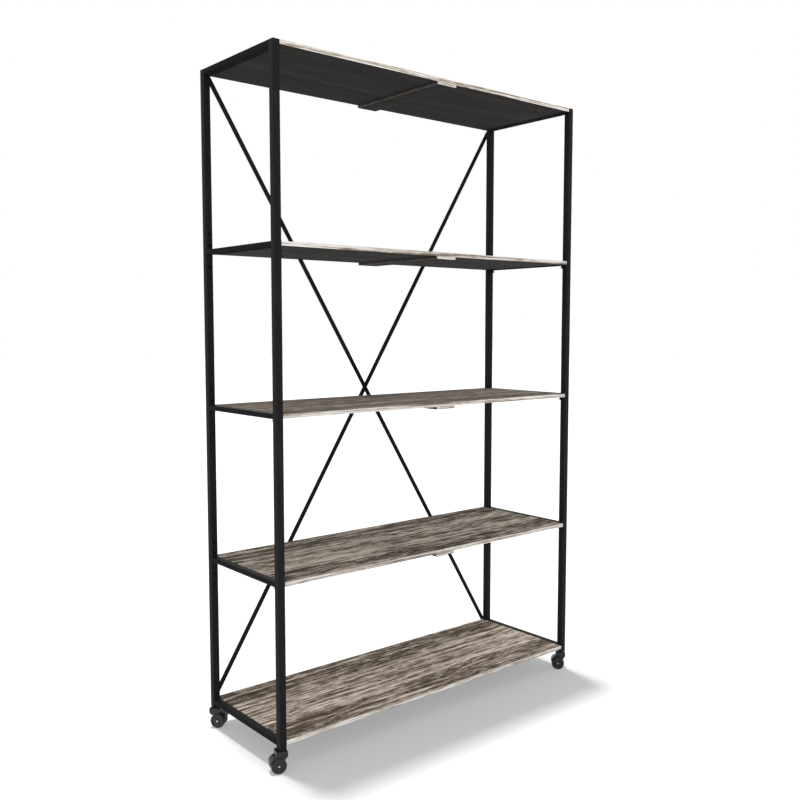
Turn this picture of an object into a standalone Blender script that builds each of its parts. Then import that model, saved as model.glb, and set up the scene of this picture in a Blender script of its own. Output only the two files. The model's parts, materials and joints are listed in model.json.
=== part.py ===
"""Open five-tier bookcase on casters: four square steel posts, wood boards, a rear cross brace.

Metres, +Z up, +X along the shelves, +Y towards the back.
The origin lies on the floor, at the centre of the rectangle that the four posts make.
The middle three shelves rest on pins and lift; every caster swivels and its wheels roll.
"""
import math

import bmesh
import bpy
from mathutils import Matrix, Vector

GAP = 0.0003                 # clearance left between touching pieces
OPEN_PAST = 0.002            # how far a bore or a well runs past the surface that it opens

# Overall
WIDTH = 1.200                # over the outer faces of the posts
DEPTH = 0.394
SHELF_TOPS = (0.087, 0.530, 0.989, 1.447, 1.963)
POST_FOOT = 0.064            # floor to the lower end of a post

# Square tube
TUBE = 0.021
TUBE_WALL = 0.0015
TUBE_CORNER = 0.0016

# Boards, battens and end rails
BOARD_THICK = 0.012
BOARD_EASE = 0.0008
BATTEN_WIDTH = 0.075
BATTEN_THICK = 0.008
BATTEN_OFFSET = 0.0125       # batten centre, to the right of the middle
BATTEN_SHELVES = (2, 3, 4, 5)
RAIL_HEIGHT = 0.014
FLANGE_REACH = 0.010
FLANGE_THICK = RAIL_HEIGHT - BOARD_THICK - GAP

# Shelf pins and their holes
HOLE_STEP = 0.032
HOLES_EACH_SIDE = 2
HOLE_APOTHEM = 0.0033
PIN_RADIUS = 0.0030
PIN_REACH = 0.011
PIN_TAIL = 0.009
PIN_HEAD_RADIUS = 0.0050
PIN_EASE = 0.0010

# Cross brace: where each rod's axis meets its two lugs, in X and Z, on the left and on the right
ROD_RADIUS = 0.0068
ROD_OVERRUN = 0.006
FALLING_ROD = ((-0.5734, 1.9540), (0.5860, 0.0800))
RISING_ROD = ((-0.5856, 0.0786), (0.5890, 1.9410))
ROD_PLANE = DEPTH / 2 + GAP + ROD_RADIUS
LAP_HALF_WIDTH = ROD_RADIUS + GAP    # half the width of the notch where the rods cross
LUG_HALF_HEIGHT = 0.0065
LUG_REACH = 0.0070           # from the stud outwards
LUG_THICK = 0.0030
LUG_FRONT = DEPTH / 2 + 2 * GAP
STUD_RADIUS = 0.0035
STUD_TAIL = 0.005
STUD_HOLE_APOTHEM = 0.0039

# Casters
WHEEL_RADIUS = 0.022
WHEEL_WIDTH = 0.0140
WHEEL_INNER = 0.0045         # from the caster's centre plane to a wheel
WHEEL_BORE = 0.0032
HUB_RADIUS = 0.0065
DISH_DEPTH = 0.0020
TRAIL = 0.011                # swivel axis to axle
AXLE_RADIUS = 0.0027
AXLE_BORE = 0.0030
HOOD_WIDTH = 0.034
HOOD_WEB = 0.0074
HOOD_TOP = 0.0615
HOOD_RADIUS = 0.0262
WELL_RADIUS = 0.0236
STEM_RADIUS = 0.0040
STEM_BORE = 0.0043
STEM_COLLAR = 0.0085
STEM_DROP = 0.014            # how far the stem reaches down into the hood
STEM_RISE = 0.030            # and up into the post
# The hood seen from the side, in X and Z: its cap, then down its front and under the axle
HOOD_CAP = ((0.0190, 0.0485), (0.0190, 0.0590), (0.0165, HOOD_TOP), (-0.0115, HOOD_TOP), (-0.0145, 0.0585),
            (-0.0145, 0.0470))
HOOD_FRONT = ((-0.0085, 0.0400), (-0.0040, 0.0300), (0.0020, 0.0160), (0.0080, 0.0110), (0.0160, 0.0110),
              (0.0220, 0.0140))

# Number of flats on the round pieces
ROD_SIDES = 12
HOLE_SIDES = 8
PIN_SIDES = 10
STEM_SIDES = 16
AXLE_SIDES = 12
WHEEL_SIDES = 28
WELL_SIDES = 32

BLACK_STEEL = ("black_steel", (0.020, 0.020, 0.021), 0.45, 0.0)
WEATHERED_WOOD = ("weathered_wood", (0.36, 0.31, 0.27), 0.75, 0.0)
PALE_WOOD = ("pale_wood", (0.62, 0.55, 0.47), 0.75, 0.0)
BLACK_NYLON = ("black_nylon", (0.030, 0.030, 0.032), 0.50, 0.0)
ZINC_STEEL = ("zinc_steel", (0.45, 0.45, 0.46), 0.35, 1.0)

SIDES = (("left", -1), ("right", 1))
ENDS = (("front", -1), ("rear", 1))
# Direction in which each caster's wheels trail behind its stem, in degrees from +X
CASTER_HEADINGS = {
    ("front", "left"): 161.0,
    ("front", "right"): 133.0,
    ("rear", "left"): 310.0,
    ("rear", "right"): 300.0,
}


def clear_scene():
    """Start from an empty scene."""
    for item in list(bpy.data.objects):
        bpy.data.objects.remove(item, do_unlink=True)


def finish_material(finish):
    """Return the Principled material for one finish, made once."""
    name, colour, roughness, metallic = finish
    material = bpy.data.materials.get(name)
    if material is None:
        material = bpy.data.materials.new(name)
        material.use_nodes = True
        shader = material.node_tree.nodes["Principled BSDF"]
        shader.inputs["Base Color"].default_value = (*colour, 1.0)
        shader.inputs["Roughness"].default_value = roughness
        shader.inputs["Metallic"].default_value = metallic
    return material


def add_mesh(name, bm, finish, parent=None, location=(0, 0, 0), rotation=(0, 0, 0)):
    """Turn a bmesh into a named object with its material."""
    bmesh.ops.recalc_face_normals(bm, faces=bm.faces[:])
    mesh = bpy.data.meshes.new(name)
    bm.to_mesh(mesh)
    bm.free()
    piece = bpy.data.objects.new(name, mesh)
    bpy.context.scene.collection.objects.link(piece)
    mesh.materials.append(finish_material(finish))
    piece.parent = parent
    piece.location = location
    piece.rotation_euler = rotation
    return piece


def add_empty(name, location, parent=None, heading=0.0):
    """An empty that stands on a joint's axis."""
    empty = bpy.data.objects.new(name, None)
    bpy.context.scene.collection.objects.link(empty)
    empty.parent = parent
    empty.location = location
    empty.rotation_euler = (0.0, 0.0, heading)
    return empty


def box(bm, low, high):
    """Add a closed box between two corners."""
    size = Vector(high) - Vector(low)
    centre = (Vector(high) + Vector(low)) / 2
    matrix = Matrix.Translation(centre) @ Matrix.Diagonal((*size, 1.0))
    return bmesh.ops.create_cube(bm, size=1.0, matrix=matrix)["verts"]


def box_mesh(low, high):
    """A bmesh that holds one box."""
    bm = bmesh.new()
    box(bm, low, high)
    return bm


def prism(outline, depth):
    """A closed prism: an outline in X and Z, extruded to both sides of Y = 0."""
    bm = bmesh.new()
    face = bm.faces.new([bm.verts.new((x, -depth / 2, z)) for x, z in outline])
    moved = bmesh.ops.extrude_face_region(bm, geom=[face])["geom"]
    verts = [item for item in moved if isinstance(item, bmesh.types.BMVert)]
    bmesh.ops.translate(bm, verts=verts, vec=(0.0, depth, 0.0))
    bmesh.ops.recalc_face_normals(bm, faces=bm.faces[:])
    return bm


def turned(profile, steps):
    """A closed turned solid about Z; the profile runs from axis to axis, or closes on itself."""
    bm = bmesh.new()
    rings = []
    for radius, height in profile:
        if radius == 0.0:
            rings.append([bm.verts.new((0.0, 0.0, height))])
            continue
        angles = (2 * math.pi * i / steps for i in range(steps))
        rings.append([bm.verts.new((radius * math.cos(a), radius * math.sin(a), height)) for a in angles])
    pairs = list(zip(rings, rings[1:]))
    if profile[0][0] > 0.0:
        pairs.append((rings[-1], rings[0]))
    for lower, upper in pairs:
        for i in range(steps):
            j = (i + 1) % steps
            corners = [
                lower[i % len(lower)], lower[j % len(lower)], upper[j % len(upper)], upper[i % len(upper)],
            ]
            bm.faces.new(list(dict.fromkeys(corners)))
    bmesh.ops.recalc_face_normals(bm, faces=bm.faces[:])
    return bm


def circumradius(apothem, sides):
    """Corner radius of a regular polygon whose flats lie at the apothem."""
    return apothem / math.cos(math.pi / sides)


def round_bar(bm, start, end, apothem, sides):
    """Add a round bar between two points, its flats tangent to the wanted radius."""
    start, end = Vector(start), Vector(end)
    along = end - start
    turn = along.to_track_quat("Z", "Y").to_matrix().to_4x4()
    bmesh.ops.create_cone(
        bm, cap_ends=True, segments=sides, radius1=circumradius(apothem, sides),
        radius2=circumradius(apothem, sides), depth=along.length,
        matrix=Matrix.Translation((start + end) / 2) @ turn @ Matrix.Rotation(math.pi / sides, 4, "Z"))


def combine(piece, bm, label, operation="DIFFERENCE"):
    """Cut a mesh out of a piece, or join it on, with an exact Boolean modifier."""
    guide = add_mesh(piece.name + "_" + label + "_guide", bm, ZINC_STEEL, piece.parent,
                     piece.location, piece.rotation_euler)
    guide.hide_render = True
    guide.display_type = "WIRE"
    modifier = piece.modifiers.new(label, "BOOLEAN")
    modifier.operation = operation
    modifier.solver = "EXACT"
    modifier.object = guide


def smooth(piece, angle=35.0):
    """Shade a round piece smooth, with its real edges kept sharp."""
    piece.data.shade_smooth()
    piece.data.set_sharp_from_angle(angle=math.radians(angle))


# Where things stand -----------------------------------------------------------------------

def post_centre(side, end):
    """Plan position of a post's axis."""
    return side * (WIDTH - TUBE) / 2, end * (DEPTH - TUBE) / 2


def pin_height(shelf_top):
    """Height of the pins that carry a shelf by its end rails."""
    return shelf_top - RAIL_HEIGHT - GAP - PIN_HEAD_RADIUS


def brace_crossing():
    """Where the two brace rods' axes cross, in X and Z."""
    (x0, z0), (x1, z1) = FALLING_ROD
    (u0, w0), (u1, w1) = RISING_ROD
    fall, rise = (z1 - z0) / (x1 - x0), (w1 - w0) / (u1 - u0)
    x = (z0 - w0 - fall * x0 + rise * u0) / (rise - fall)
    return x, z0 + fall * (x - x0)


# Frame ------------------------------------------------------------------------------------

def build_post(side_name, side, end_name, end):
    """A square tube closed at the top, with a foot plate, pin holes and, at the rear, rod holes."""
    x, y = post_centre(side, end)
    half, inner = TUBE / 2, TUBE / 2 - TUBE_WALL
    top, foot = SHELF_TOPS[-1], POST_FOOT
    bm = box_mesh((-half, -half, foot), (half, half, top))
    upright = [e for e in bm.edges if abs((e.verts[0].co - e.verts[1].co).z) > TUBE]
    bmesh.ops.bevel(bm, geom=upright, offset=TUBE_CORNER, segments=2, profile=0.5, affect="EDGES")
    post = add_mesh(end_name + "_" + side_name + "_post", bm, BLACK_STEEL, location=(x, y, 0.0))
    combine(post, box_mesh((-inner, -inner, foot + 2 * TUBE_WALL), (inner, inner, top - TUBE_WALL)), "bore")
    holes = bmesh.new()
    round_bar(holes, (0, 0, foot - TUBE_WALL), (0, 0, foot + 4 * TUBE_WALL), STEM_BORE, ROD_SIDES)
    for shelf_top in SHELF_TOPS[1:-1]:
        for i in range(-HOLES_EACH_SIDE, HOLES_EACH_SIDE + 1):
            height = pin_height(shelf_top) + i * HOLE_STEP
            round_bar(holes, (0, -end * half / 2, height), (0, -end * (half + TUBE_WALL), height),
                      HOLE_APOTHEM, HOLE_SIDES)
    if end > 0:
        for place in (*FALLING_ROD, *RISING_ROD):
            if place[0] * side > 0.0:
                round_bar(holes, (0, half / 2, place[1]), (0, half + TUBE_WALL, place[1]),
                          STUD_HOLE_APOTHEM, ROD_SIDES)
    combine(post, holes, "holes")
    return post


def lap_notch(other_ends, kept):
    """The notch where the other rod crosses; kept is -1 if the front half stays, +1 if the rear half does."""
    (x0, z0), (x1, z1) = other_ends
    tilt = Matrix.Rotation(-math.atan2(z1 - z0, x1 - x0), 4, "Y")
    x, z = brace_crossing()
    place = Matrix.Translation((x, ROD_PLANE - kept * (ROD_RADIUS - GAP / 2), z))
    size = Matrix.Diagonal((8 * ROD_RADIUS, 2 * ROD_RADIUS, 2 * LAP_HALF_WIDTH, 1.0))
    bm = bmesh.new()
    bmesh.ops.create_cube(bm, size=1.0, matrix=place @ tilt @ size)
    return bm


def build_rod(name, ends, other_ends, kept):
    """A straight round rod: lugs and studs at its ends, half its depth notched away at the crossing."""
    start, end = (Vector((x, ROD_PLANE, z)) for x, z in ends)
    overrun = (end - start).normalized() * ROD_OVERRUN
    bm = bmesh.new()
    round_bar(bm, start - overrun, end + overrun, ROD_RADIUS, ROD_SIDES)
    rod = add_mesh(name, bm, BLACK_STEEL)
    smooth(rod)
    lugs, studs = bmesh.new(), bmesh.new()
    for x, z in ends:
        side = math.copysign(1.0, x)
        stud_x = side * (WIDTH - TUBE) / 2
        low_x, high_x = sorted((x, stud_x + side * LUG_REACH))
        box(lugs, (low_x, LUG_FRONT, z - LUG_HALF_HEIGHT),
            (high_x, LUG_FRONT + LUG_THICK, z + LUG_HALF_HEIGHT))
        round_bar(studs, (stud_x, LUG_FRONT + LUG_THICK / 2, z), (stud_x, DEPTH / 2 - STUD_TAIL, z),
                  STUD_RADIUS, ROD_SIDES)
    combine(rod, lugs, "lugs", "UNION")
    combine(rod, studs, "studs", "UNION")
    combine(rod, lap_notch(other_ends, kept), "lap")
    return rod


# Shelves ----------------------------------------------------------------------------------

def build_shelf(number, top):
    """A board with its batten, if it has one, and the two end rails with a flange under the board."""
    parent = add_empty("shelf_%d_axis" % number, (0.0, 0.0, top))
    half_span = WIDTH / 2 - TUBE - GAP
    board = box_mesh((-half_span, -DEPTH / 2, -BOARD_THICK), (half_span, DEPTH / 2, 0.0))
    bmesh.ops.bevel(board, geom=board.edges[:], offset=BOARD_EASE, segments=1, affect="EDGES")
    add_mesh("shelf_%d_board" % number, board, WEATHERED_WOOD, parent)
    if number in BATTEN_SHELVES:
        batten_top = -BOARD_THICK - GAP
        batten = box_mesh((BATTEN_OFFSET - BATTEN_WIDTH / 2, -DEPTH / 2, batten_top - BATTEN_THICK),
                          (BATTEN_OFFSET + BATTEN_WIDTH / 2, DEPTH / 2, batten_top))
        bmesh.ops.bevel(batten, geom=batten.edges[:], offset=BOARD_EASE, segments=1, affect="EDGES")
        add_mesh("shelf_%d_batten" % number, batten, PALE_WOOD, parent)
    for side_name, side in SIDES:
        build_rail("shelf_%d_%s_rail" % (number, side_name), side, parent)


def build_rail(name, side, parent):
    """An end rail from front post to rear post, with the flange that holds the board's end."""
    outer, inner = WIDTH / 2, WIDTH / 2 - TUBE
    length = DEPTH - 2 * TUBE - 2 * GAP
    outline = (
        (outer, -RAIL_HEIGHT), (outer, 0.0), (inner, 0.0),
        (inner, -RAIL_HEIGHT + FLANGE_THICK),
        (inner - FLANGE_REACH, -RAIL_HEIGHT + FLANGE_THICK), (inner - FLANGE_REACH, -RAIL_HEIGHT),
    )
    bm = prism([(side * x, z) for x, z in outline], length)
    add_mesh(name, bm, BLACK_STEEL, parent)


def build_pins():
    """Four pins for each lifting shelf, pushed into the middle hole of each row."""
    profile = (
        (0.0, -PIN_TAIL), (PIN_RADIUS, -PIN_TAIL), (PIN_RADIUS, GAP), (PIN_HEAD_RADIUS, GAP),
        (PIN_HEAD_RADIUS, PIN_REACH - PIN_EASE), (PIN_HEAD_RADIUS - PIN_EASE, PIN_REACH), (0.0, PIN_REACH),
    )
    for number, top in enumerate(SHELF_TOPS[1:-1], start=2):
        height = pin_height(top)
        for side_name, side in SIDES:
            for end_name, end in ENDS:
                x, y = post_centre(side, end)
                pin = add_mesh(
                    "shelf_%d_%s_%s_pin" % (number, end_name, side_name),
                    turned(profile, PIN_SIDES), BLACK_STEEL,
                    location=(x, y - end * TUBE / 2, height), rotation=(end * math.pi / 2, 0.0, 0.0))
                smooth(pin)


# Casters ----------------------------------------------------------------------------------

def arc_points(radius, start, stop, count):
    """Points on a circle about the axle, in the caster's own X and Z."""
    angles = (math.radians(start + (stop - start) * i / (count - 1)) for i in range(count))
    return [(TRAIL + radius * math.cos(a), WHEEL_RADIUS + radius * math.sin(a)) for a in angles]


def build_hood(name, parent):
    """The swivelling body: a cover over both wheels, a web between them and a boss for the stem."""
    outline = (*arc_points(HOOD_RADIUS, 20.0, 75.0, 7), *HOOD_CAP, *HOOD_FRONT)
    bm = prism(outline, HOOD_WIDTH)
    hood = add_mesh(name, bm, BLACK_NYLON, parent)
    for label, side in (("left_well", 1), ("right_well", -1)):
        well = bmesh.new()
        round_bar(well, (TRAIL, side * HOOD_WEB / 2, WHEEL_RADIUS),
                  (TRAIL, side * (HOOD_WIDTH / 2 + OPEN_PAST), WHEEL_RADIUS), WELL_RADIUS, WELL_SIDES)
        combine(hood, well, label)
    bores = bmesh.new()
    round_bar(bores, (0, 0, HOOD_TOP - STEM_DROP - GAP), (0, 0, HOOD_TOP + OPEN_PAST), STEM_BORE, ROD_SIDES)
    round_bar(bores, (TRAIL, -HOOD_WEB, WHEEL_RADIUS), (TRAIL, HOOD_WEB, WHEEL_RADIUS), AXLE_BORE, AXLE_SIDES)
    combine(hood, bores, "bores")
    return hood


def wheel_profile():
    """Half section of a wheel: rounded tread, recessed outer disc, hub and bore."""
    r, w = WHEEL_RADIUS, WHEEL_WIDTH
    return (
        (WHEEL_BORE, 0.0), (0.91 * r, 0.0), (r, 0.0020), (r, 0.55 * w), (0.93 * r, 0.85 * w), (0.80 * r, w),
        (0.73 * r, w), (0.69 * r, w - DISH_DEPTH), (HUB_RADIUS + GAP, w - DISH_DEPTH), (HUB_RADIUS, w - GAP),
        (WHEEL_BORE, w - GAP),
    )


def build_caster(end_name, end, side_name, side):
    """A stem fixed in the post, and the hood, axle and two wheels that turn below it."""
    x, y = post_centre(side, end)
    base = end_name + "_" + side_name
    heading = math.radians(CASTER_HEADINGS[end_name, side_name])
    swivel = add_empty(base + "_swivel_axis", (x, y, 0.0), heading=heading)
    stem_profile = (
        (0.0, HOOD_TOP - STEM_DROP), (STEM_RADIUS, HOOD_TOP - STEM_DROP), (STEM_RADIUS, HOOD_TOP + GAP),
        (STEM_COLLAR, HOOD_TOP + GAP), (STEM_COLLAR, POST_FOOT - GAP), (STEM_RADIUS, POST_FOOT - GAP),
        (STEM_RADIUS, POST_FOOT + STEM_RISE), (0.0, POST_FOOT + STEM_RISE),
    )
    stem = add_mesh(base + "_caster_stem", turned(stem_profile, STEM_SIDES), ZINC_STEEL, location=(x, y, 0.0))
    smooth(stem)
    build_hood(base + "_caster_hood", swivel)
    axle_empty = add_empty(base + "_axle_axis", (TRAIL, 0.0, WHEEL_RADIUS), swivel)
    reach = WHEEL_INNER + WHEEL_WIDTH - GAP
    axle_profile = ((0.0, -reach), (AXLE_RADIUS, -reach), (AXLE_RADIUS, reach), (0.0, reach))
    smooth(add_mesh(base + "_caster_axle", turned(axle_profile, AXLE_SIDES), ZINC_STEEL, axle_empty,
                    rotation=(math.pi / 2, 0.0, 0.0)))
    for label, way in (("inner", -1), ("outer", 1)):
        wheel = add_mesh("%s_%s_wheel" % (base, label),
                         turned(wheel_profile(), WHEEL_SIDES), BLACK_NYLON, axle_empty,
                         location=(0.0, -way * WHEEL_INNER, 0.0), rotation=(way * math.pi / 2, 0.0, 0.0))
        smooth(wheel)


def main():
    clear_scene()
    for side_name, side in SIDES:
        for end_name, end in ENDS:
            build_post(side_name, side, end_name, end)
    build_rod("falling_brace_rod", FALLING_ROD, RISING_ROD, -1)
    build_rod("rising_brace_rod", RISING_ROD, FALLING_ROD, 1)
    for number, top in enumerate(SHELF_TOPS, start=1):
        build_shelf(number, top)
    build_pins()
    for side_name, side in SIDES:
        for end_name, end in ENDS:
            build_caster(end_name, end, side_name, side)


main()
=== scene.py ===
"""Looks of the open five-tier bookcase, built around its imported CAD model.

Every visible piece stands for one CAD node and takes its place and size from that node.
Units are metres, in the frame of the CAD model: floor at Z = 0, +Y towards the back.
"""
import json
import math

import bmesh
import bpy
import numpy as np
from mathutils import Matrix, Vector, noise


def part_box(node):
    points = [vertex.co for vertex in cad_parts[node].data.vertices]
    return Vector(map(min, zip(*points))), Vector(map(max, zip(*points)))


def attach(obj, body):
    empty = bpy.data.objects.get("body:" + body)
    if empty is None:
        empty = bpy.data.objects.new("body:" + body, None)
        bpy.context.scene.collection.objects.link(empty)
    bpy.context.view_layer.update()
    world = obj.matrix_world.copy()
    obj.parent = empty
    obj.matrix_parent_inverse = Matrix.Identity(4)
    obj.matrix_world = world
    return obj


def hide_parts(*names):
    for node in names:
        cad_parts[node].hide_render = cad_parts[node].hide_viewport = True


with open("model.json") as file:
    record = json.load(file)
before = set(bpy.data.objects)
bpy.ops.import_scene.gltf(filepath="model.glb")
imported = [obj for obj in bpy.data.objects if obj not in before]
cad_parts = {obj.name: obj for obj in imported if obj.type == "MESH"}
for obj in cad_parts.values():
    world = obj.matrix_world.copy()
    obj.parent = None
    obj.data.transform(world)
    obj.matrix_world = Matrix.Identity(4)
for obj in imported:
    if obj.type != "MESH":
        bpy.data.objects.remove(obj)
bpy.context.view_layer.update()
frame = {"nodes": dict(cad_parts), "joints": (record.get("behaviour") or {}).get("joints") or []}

SIDES = ("left", "right")
ENDS = ("front", "rear")
SHELVES = (1, 2, 3, 4, 5)
FIXED_SHELVES = (1, 5)
LIFTING_SHELVES = (2, 3, 4)
BATTEN_SHELVES = (2, 3, 4, 5)

# Camera, on the left of the front, a little above the middle shelf
CAMERA_PLACE = (-1.8867, -2.2404, 1.2218)
CAMERA_PITCH = 4.628
CAMERA_YAW = 39.988
CAMERA_LENS = 40.743
CAMERA_SENSOR = 36.0
CAMERA_FAR = 200.0

# Wood grain: noise scales along X, Y and Z
BAND_SCALE = (1.6, 22.0, 14.0)
STREAK_SCALE = (2.2, 90.0, 60.0)
FLECK_SCALE = (16.0, 140.0, 90.0)
FIBRE_SCALE = (20.0, 520.0, 300.0)
CRACK_SCALE = (8.0, 80.0, 60.0)
PATCH_SCALE = (12.0, 36.0, 9.0)
EDGE_LINE_SCALE = (2.5, 60.0, 320.0)
SWAY_SCALE = (1.3, 7.0, 3.0)
SWAY_REACH = 0.050           # how far the grain bends sideways, slowly
RIPPLE_SCALE = (7.0, 26.0, 3.0)
RIPPLE_REACH = 0.009         # and in short ripples
PLANK_SWAY_SCALE = (4.0, 9.0, 3.0)
PLANK_SWAY_REACH = 0.06      # how far a plank's broad bands wander

MID_FACET = 0.3              # the middle row on any rounded end, as a share of its radius

# Board surface
GRAIN_PITCH = 0.0016         # spacing of the board's rows of points, across the grain
STATION_PITCH = 0.020        # and along it
BOARD_TIPS = ((0.0, 1.0), (0.3, 0.29))   # rows at a board's ends: how far in and how much smaller, in EASE
EASE = 0.0011                # radius on a board's edges
EASE_STEPS = 4               # facets on each of those edges
UNDER_ROWS = 24              # rows of points across a board's underside
GROOVE_DEPTH = 0.00035
EDGE_WEAR = 0.00045          # most that a long edge is worn back
BATTEN_EASE = 0.0009
BATTEN_ROWS = 40
BATTEN_SIDE_PAINTED_LIGHT = 2.7       # how much paler than its underside a batten's sides are painted: painted light, making up for the shade they sit in
BATTEN_ARRIS_LIFT = 14.0      # and its lower arrises, painted much paler
# Tone of each board's top; shelf 3's is darker, as painted shade standing in for the shade its top shows at a
# low view
TOP_SHADE = {1: 1.13, 2: 0.75, 3: 0.65, 4: 0.95, 5: 1.0}
TOP_TINT = (1.02, 0.985, 0.945)
TOP_CONTRAST = {1: 1.05, 2: 1.75, 3: 0.6, 4: 0.8, 5: 0.8}
EDGE_SHADE = {1: 1.0, 2: 0.82, 3: 0.84, 4: 0.89, 5: 1.05}

# Steel
POST_CORNER = 0.0018
POST_WALL = 0.0015
POST_TOP_EASE = 0.0008
STEM_BORE = 0.0043
STUD_HOLE_RADIUS = 0.0038
STUD_HOLE_START = 0.006      # from the post's middle, towards the rear
HOLE_RADIUS = 0.0033
HOLE_CHAMFER = 0.0002
HOLE_DEPTH = 0.004
HOLE_STEP = 0.032
HOLES_EACH_SIDE = 2
HOLE_SIDES = 20
BORE_SIDES = 24
PIN_SHANK = 0.0030
PIN_SIDES = 32
RAIL_CORNER = 0.0014
RAIL_ROWS = 24
FLANGE_THICK = 0.0017
FLANGE_CORNER = 0.0004
ROD_RADIUS = 0.0068
ROD_STEPS = 32
ROD_ROWS = 60
ROD_TIP = 0.0014             # radius on a rod's ends
STUD_RADIUS = 0.0034
LUG_HALF_HEIGHT = 0.0064
LUG_REACH = 0.0069           # from a rod's stud outwards
LUG_CORNER = 0.0030
LUG_FRONT = 0.0006           # a lug's front face, behind the posts' rear faces
LUG_THICK = 0.0030
LAP_GAP = 0.0003             # between the rods where they are halved into each other
TOUCH = 0.0001               # a point this near a box's face lies on it
OVERSHOOT = 0.001            # how far a drill stands out of the steel it cuts

# Caster
HOOD_EASE = 0.0016
HOOD_RADIUS = 0.0261
WELL_RADIUS = 0.0237
HOOD_WEB = 0.0070
CAP_EASE = 0.0028
# The front of the hood from the cap down and under the axle, in the caster's own X and Z
HOOD_FRONT = ((-0.0084, 0.0402), (-0.0060, 0.0350), (-0.0039, 0.0302), (0.0021, 0.0162), (0.0081, 0.0112),
              (0.0160, 0.0111), (0.0219, 0.0141), (0.0300, 0.0235))
# Where the cap meets the cover over the wheels, and the height of its front foot
CAP_END = (0.0188, 0.0488)
CAP_FOOT = 0.0472
HOOD_STEM_BORE = 0.0044
HOOD_STEM_DEPTH = 0.0147
HOOD_BORE_SIDES = 28
WELL_SIDES = 64
AXLE_RADIUS = 0.0027
AXLE_EASE = 0.0005
AXLE_SIDES = 28
AXLE_BORE = 0.0029
STEM_RADIUS = 0.0040
STEM_EASE = 0.0008
STEM_SIDES = 32
COLLAR_GAP = 0.0003          # between the stem's collar and the hood or the post
COLLAR_EASE = 0.0006
THREAD_PITCH = 0.00125
THREAD_DEPTH = 0.00055
WHEEL_STEPS = 72
TREAD_EASE = (0.0032, 0.0036)        # rounding of the tread's outer shoulder, in and along the axle
GROOVE_STARTS = (0.0026, 0.0050)     # the tread's two grooves, from the wheel's inner face

# Stage
FLOOR_REACH = 30.0
FLOOR_GLOW = 0.345
KEY_ENERGY = 8.0
KEY_ANGLE = 4.5
KEY_DIRECTION = (0.0, -0.115, -1.0)


# Meshes -----------------------------------------------------------------------------------

def piece_from(bm, name, body, replaces, materials):
    """Make a named object from a bmesh, ride it on its body and put it in place of its node."""
    mesh = bpy.data.meshes.new(name)
    bm.to_mesh(mesh)
    bm.free()
    piece = bpy.data.objects.new(name, mesh)
    bpy.context.scene.collection.objects.link(piece)
    for material in materials:
        mesh.materials.append(material)
    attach(piece, body)
    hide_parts(replaces)
    return piece


def smooth(piece, angle=32.0):
    """Smooth shading with real edges kept sharp."""
    piece.data.shade_smooth()
    piece.data.set_sharp_from_angle(angle=math.radians(angle))


def bake_modifiers(piece):
    """Apply a piece's modifiers to its mesh."""
    depsgraph = bpy.context.evaluated_depsgraph_get()
    mesh = bpy.data.meshes.new_from_object(piece.evaluated_get(depsgraph))
    piece.modifiers.clear()
    piece.data = mesh


def boolean(piece, bm, operation="DIFFERENCE"):
    """Cut a mesh out of a piece, or join it on, and keep the result."""
    tool_mesh = bpy.data.meshes.new("tool")
    bm.to_mesh(tool_mesh)
    bm.free()
    tool = bpy.data.objects.new("tool", tool_mesh)
    bpy.context.scene.collection.objects.link(tool)
    modifier = piece.modifiers.new("boolean", "BOOLEAN")
    modifier.operation = operation
    modifier.solver = "EXACT"
    modifier.object = tool
    bpy.context.view_layer.update()
    bake_modifiers(piece)
    bpy.data.objects.remove(tool, do_unlink=True)
    bpy.data.meshes.remove(tool_mesh)


def lathe(bm, profile, steps, place):
    """Add a solid turned about local Z; the profile runs from axis to axis, or closes on itself."""
    rings = []
    for radius, height in profile:
        if radius == 0.0:
            rings.append([bm.verts.new(place @ Vector((0.0, 0.0, height)))])
            continue
        angles = (2 * math.pi * i / steps for i in range(steps))
        rings.append([bm.verts.new(place @ Vector((radius * math.cos(a), radius * math.sin(a), height)))
                      for a in angles])
    pairs = list(zip(rings, rings[1:]))
    if profile[0][0] > 0.0:
        pairs.append((rings[-1], rings[0]))
    for lower, upper in pairs:
        for i in range(steps):
            j = (i + 1) % steps
            corners = (lower[i % len(lower)], lower[j % len(lower)],
                       upper[j % len(upper)], upper[i % len(upper)])
            bm.faces.new(list(dict.fromkeys(corners)))
    bmesh.ops.recalc_face_normals(bm, faces=bm.faces[:])


def along(start, end):
    """Matrix that takes local Z from a start point towards an end point."""
    direction = (Vector(end) - Vector(start)).normalized()
    return Matrix.Translation(start) @ direction.to_track_quat("Z", "Y").to_matrix().to_4x4()


def cylinder(bm, start, end, radius, steps):
    """Add a closed cylinder between two points."""
    length = (Vector(end) - Vector(start)).length
    lathe(bm, ((0.0, 0.0), (radius, 0.0), (radius, length), (0.0, length)), steps, along(start, end))


def rounded(low, high, radius, steps):
    """Outline of a rectangle with rounded corners, anticlockwise from the lower right corner."""
    (x0, z0), (x1, z1) = low, high
    centres = ((x1 - radius, z0 + radius, -90), (x1 - radius, z1 - radius, 0),
               (x0 + radius, z1 - radius, 90), (x0 + radius, z0 + radius, 180))
    points = []
    for x, z, start in centres:
        for i in range(steps + 1):
            angle = math.radians(start + 90.0 * i / steps)
            points.append((x + radius * math.cos(angle), z + radius * math.sin(angle)))
    return points


def loft(bm, rings):
    """Join a list of point rings into a closed solid with flat ends."""
    made = [[bm.verts.new(point) for point in ring] for ring in rings]
    count = len(made[0])
    for lower, upper in zip(made, made[1:]):
        for i in range(count):
            j = (i + 1) % count
            bm.faces.new((lower[i], lower[j], upper[j], upper[i]))
    bm.faces.new(made[0])
    bm.faces.new(made[-1])
    bmesh.ops.recalc_face_normals(bm, faces=bm.faces[:])


# Materials --------------------------------------------------------------------------------

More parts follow.
